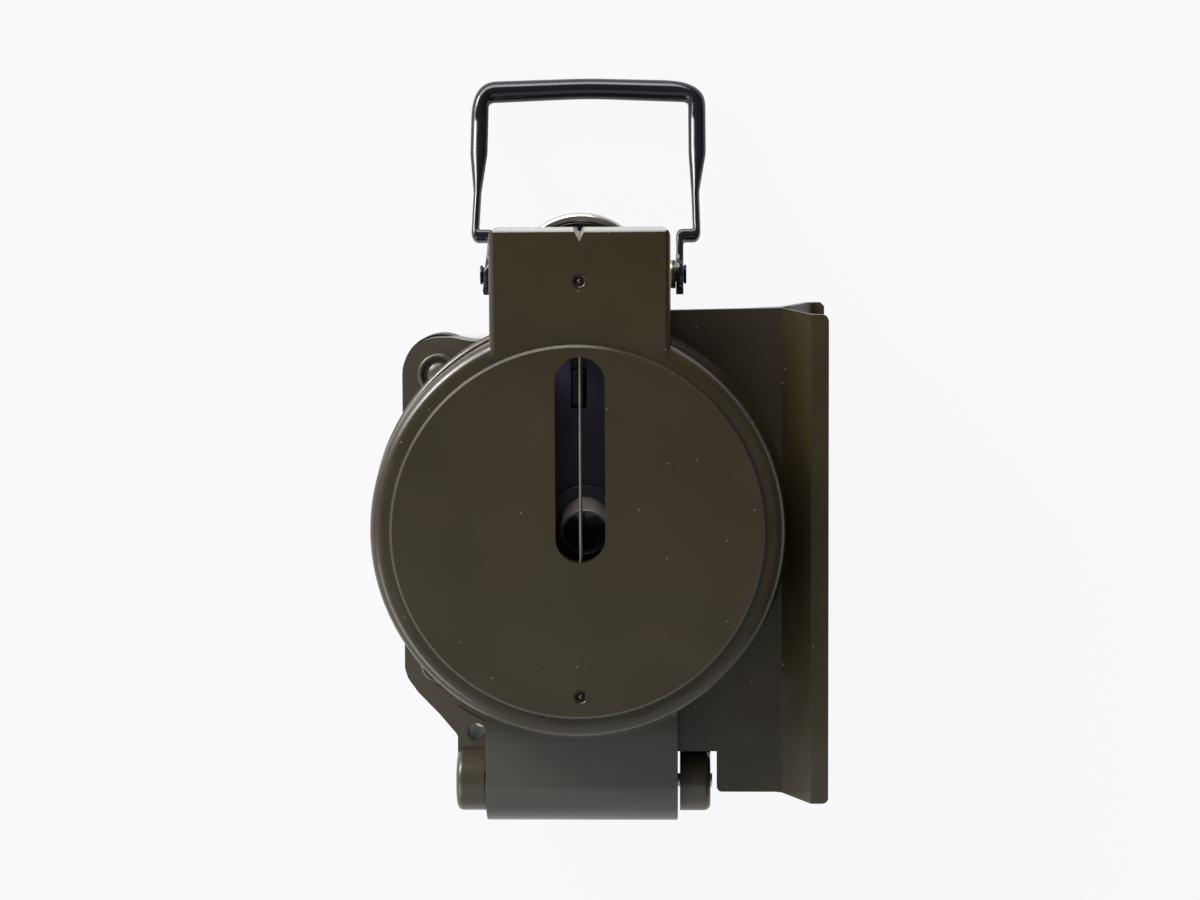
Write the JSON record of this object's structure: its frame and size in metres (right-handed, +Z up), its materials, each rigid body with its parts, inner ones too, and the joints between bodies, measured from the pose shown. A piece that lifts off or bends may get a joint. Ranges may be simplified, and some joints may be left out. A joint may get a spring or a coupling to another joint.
{
  "type": "folding lensatic compass",
  "caption": "Folding pocket compass of the military pattern with hinged slotted cover, ruler flanges, folding eyepiece, turning bezel and thumb loop, shown closed.",
  "frame": {"origin": "on the dial axis, in the plane of the underside", "axes": "+X towards the ruler edges, +Y towards the thumb loop, +Z up through the closed cover"},
  "size_m": [0.0609, 0.1004, 0.028],
  "materials": {
    "base_body": "satin olive enamel over a light-alloy casting",
    "bottom_cover": "black moulding, faintly rough",
    "bottom_screws": "bright steel",
    "capsule_cup": "black moulding",
    "capsule_window": "clear and polished",
    "capsule_seal": "smooth black rubber",
    "pivot_post": "turned steel, hardened point",
    "compass_card": "matt black with pale print",
    "card_magnet": "dark magnet steel",
    "card_jewel": "turned brass hub",
    "bezel_ring": "black, scalloped grips",
    "bezel_crystal": "clear and polished",
    "marching_line": "pale luminous paint",
    "bezel_snap_ring": "spring wire",
    "click_spring": "spring strip",
    "index_mark": "pale insert",
    "cover_shell": "satin olive-brown enamel with a soft sheen on every rounded edge",
    "sighting_wire": "bright drawn wire",
    "luminous_dots": "dark sealed inserts",
    "hinge_pin": "bright steel",
    "sight_bracket": "black enamel",
    "magnifier_ring": "bright nickel plate",
    "magnifier_lens": "clear and polished",
    "sight_barrel": "bright nickel plate, slightly worn",
    "sight_lens": "dark glass with a blue-grey reflection",
    "rear_pin": "black enamel",
    "loop_washers": "plain brass",
    "thumb_loop": "gloss black enamel"
  },
  "bodies": {
    "base": {"base_body": "base_body", "bottom_cover": "bottom_cover", "bottom_screws": "bottom_screws", "capsule_cup": "capsule_cup", "capsule_window": "capsule_window", "capsule_seal": "capsule_seal", "pivot_post": "pivot_post", "bezel_snap_ring": "bezel_snap_ring", "click_spring": "click_spring", "index_mark": "index_mark", "hinge_pin": "hinge_pin", "rear_pin": "rear_pin", "loop_washers": "loop_washers"},
    "card": {"compass_card": "compass_card", "card_magnet": "card_magnet", "card_jewel": "card_jewel"},
    "bezel": {"bezel_ring": "bezel_ring", "bezel_crystal": "bezel_crystal", "marching_line": "marching_line"},
    "cover": {"cover_shell": "cover_shell", "sighting_wire": "sighting_wire", "luminous_dots": "luminous_dots"},
    "eyepiece": {"sight_bracket": "sight_bracket", "magnifier_ring": "magnifier_ring", "magnifier_lens": "magnifier_lens", "sight_barrel": "sight_barrel", "sight_lens": "sight_lens"},
    "loop": {"thumb_loop": "thumb_loop"}
  },
  "joints": [
    {"name": "cover_hinge", "type": "hinge", "parent": "base", "child": "cover", "pos_m": [0, -0.0351, 0.014], "axis": [1, 0, 0], "range_deg": [0, 180]},
    {"name": "eyepiece_hinge", "type": "hinge", "parent": "base", "child": "eyepiece", "pos_m": [0, 0.0332, 0.012], "axis": [-1, 0, 0], "range_deg": [0, 90]},
    {"name": "thumb_loop_hinge", "type": "hinge", "parent": "base", "child": "loop", "pos_m": [0, 0.0332, 0.012], "axis": [1, 0, 0], "range_deg": [0, 128]},
    {"name": "bezel_turn", "type": "hinge", "parent": "base", "child": "bezel", "pos_m": [0, 0, 0.015], "axis": [0, 0, 1], "continuous": true},
    {"name": "card_swing", "type": "hinge", "parent": "base", "child": "card", "pos_m": [0, 0, 0.0115], "axis": [0, 0, 1], "continuous": true}
  ],
  "couplings": [
    {"joint": "eyepiece_hinge", "follows": "cover_hinge", "ratio": 0.5}
  ]
}
